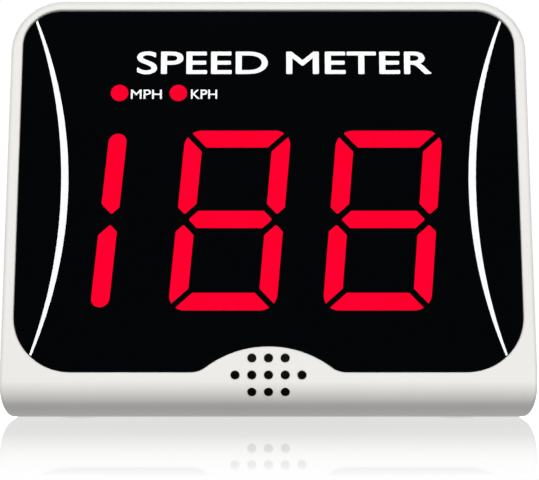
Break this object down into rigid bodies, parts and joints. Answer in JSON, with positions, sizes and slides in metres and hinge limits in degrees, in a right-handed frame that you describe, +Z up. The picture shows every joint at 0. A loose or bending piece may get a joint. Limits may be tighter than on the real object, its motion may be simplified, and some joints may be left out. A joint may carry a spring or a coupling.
{
  "type": "speed radar display",
  "caption": "Wedge-shaped desktop speed radar with a large red digit display behind a black lens, a speaker grille, rear buttons and a hinged battery door.",
  "frame": {"origin": "on the table surface, under the middle of the case", "axes": "+X to the right seen from the front, +Y from the display towards the back, +Z up; the display faces -Y"},
  "size_m": [0.16, 0.0719, 0.1283],
  "materials": {
    "casing": "fine satin texture",
    "lens": "polished black lens",
    "led_red": "lit diffuser",
    "inner_black": "matt moulding",
    "foam": "foam tape",
    "button": "matt silicone",
    "foot_rubber": "matt rubber",
    "circuit_board": "solder mask",
    "chip": "moulded",
    "connector": "natural nylon",
    "cone": "pressed paper",
    "steel": "zinc plated",
    "magnet": "plated",
    "brass": "turned",
    "cell": "printed foil label",
    "wire_red": "insulation",
    "wire_black": "insulation",
    "wire_grey": "insulation"
  },
  "bodies": {
    "housing": {"front_housing": "casing", "rear_housing": "casing", "display_lens": "lens", "lens_tape": "foam", "digit_1_reflector": "inner_black", "digit_2_reflector": "inner_black", "digit_3_reflector": "inner_black", "digit_1_diffuser": "led_red", "digit_2_diffuser": "led_red", "digit_3_diffuser": "led_red", "unit_lamp_left": "led_red", "unit_lamp_right": "led_red", "lamp_shroud": "inner_black", "display_board": "circuit_board", "display_connector": "connector", "radar_board": "circuit_board", "radar_shield": "steel", "radar_header": "chip", "speaker_frame": "steel", "speaker_magnet": "magnet", "speaker_cone": "cone", "speaker_gasket": "foam", "battery_1": "cell", "battery_2": "cell", "battery_3": "cell", "battery_4": "cell", "contact_spring": "steel", "contact_plate": "steel", "contact_bridge": "steel", "battery_lead_black": "wire_black", "battery_lead_red": "wire_red", "power_switch": "steel", "unit_switch": "steel", "sound_switch": "steel", "main_board": "circuit_board", "board_screw_1": "steel", "board_screw_2": "steel", "usb_socket": "steel", "supply_capacitor": "chip", "processor_chip": "chip", "main_connector": "connector", "case_screw_1": "steel", "case_screw_2": "steel", "case_screw_3": "steel", "case_screw_4": "steel", "tripod_nut": "brass", "foot_1": "foot_rubber", "foot_2": "foot_rubber", "foot_3": "foot_rubber", "foot_4": "foot_rubber", "display_ribbon": "wire_grey", "speaker_lead": "wire_grey"},
    "power_button": {"power_button": "button", "power_plunger": "inner_black"},
    "unit_button": {"unit_button": "button", "unit_plunger": "inner_black"},
    "sound_button": {"sound_button": "button", "sound_plunger": "inner_black"},
    "battery_door": {"battery_door": "casing"},
    "door_latch": {"door_latch": "casing"}
  },
  "joints": [
    {"name": "power_press", "type": "slide", "parent": "housing", "child": "power_button", "axis": [0, -0.9962, -0.0872], "range_m": [0, 0.0006], "stiffness_N_per_m": 900, "springref_m": -0.0003},
    {"name": "unit_press", "type": "slide", "parent": "housing", "child": "unit_button", "axis": [0, -0.9962, -0.0872], "range_m": [0, 0.0006], "stiffness_N_per_m": 900, "springref_m": -0.0003},
    {"name": "sound_press", "type": "slide", "parent": "housing", "child": "sound_button", "axis": [0, -0.9962, -0.0872], "range_m": [0, 0.0006], "stiffness_N_per_m": 900, "springref_m": -0.0003},
    {"name": "battery_door_hinge", "type": "hinge", "parent": "housing", "child": "battery_door", "pos_m": [0, 0.03405, 0.01094], "axis": [-1, 0, 0], "range_deg": [0, 95]},
    {"name": "door_latch_flex", "type": "hinge", "parent": "battery_door", "child": "door_latch", "pos_m": [0, 0.03241, 0.03418], "axis": [1, 0, 0], "range_deg": [0, 6], "stiffness_Nm_per_rad": 0.25, "springref_deg": -1.15}
  ]
}
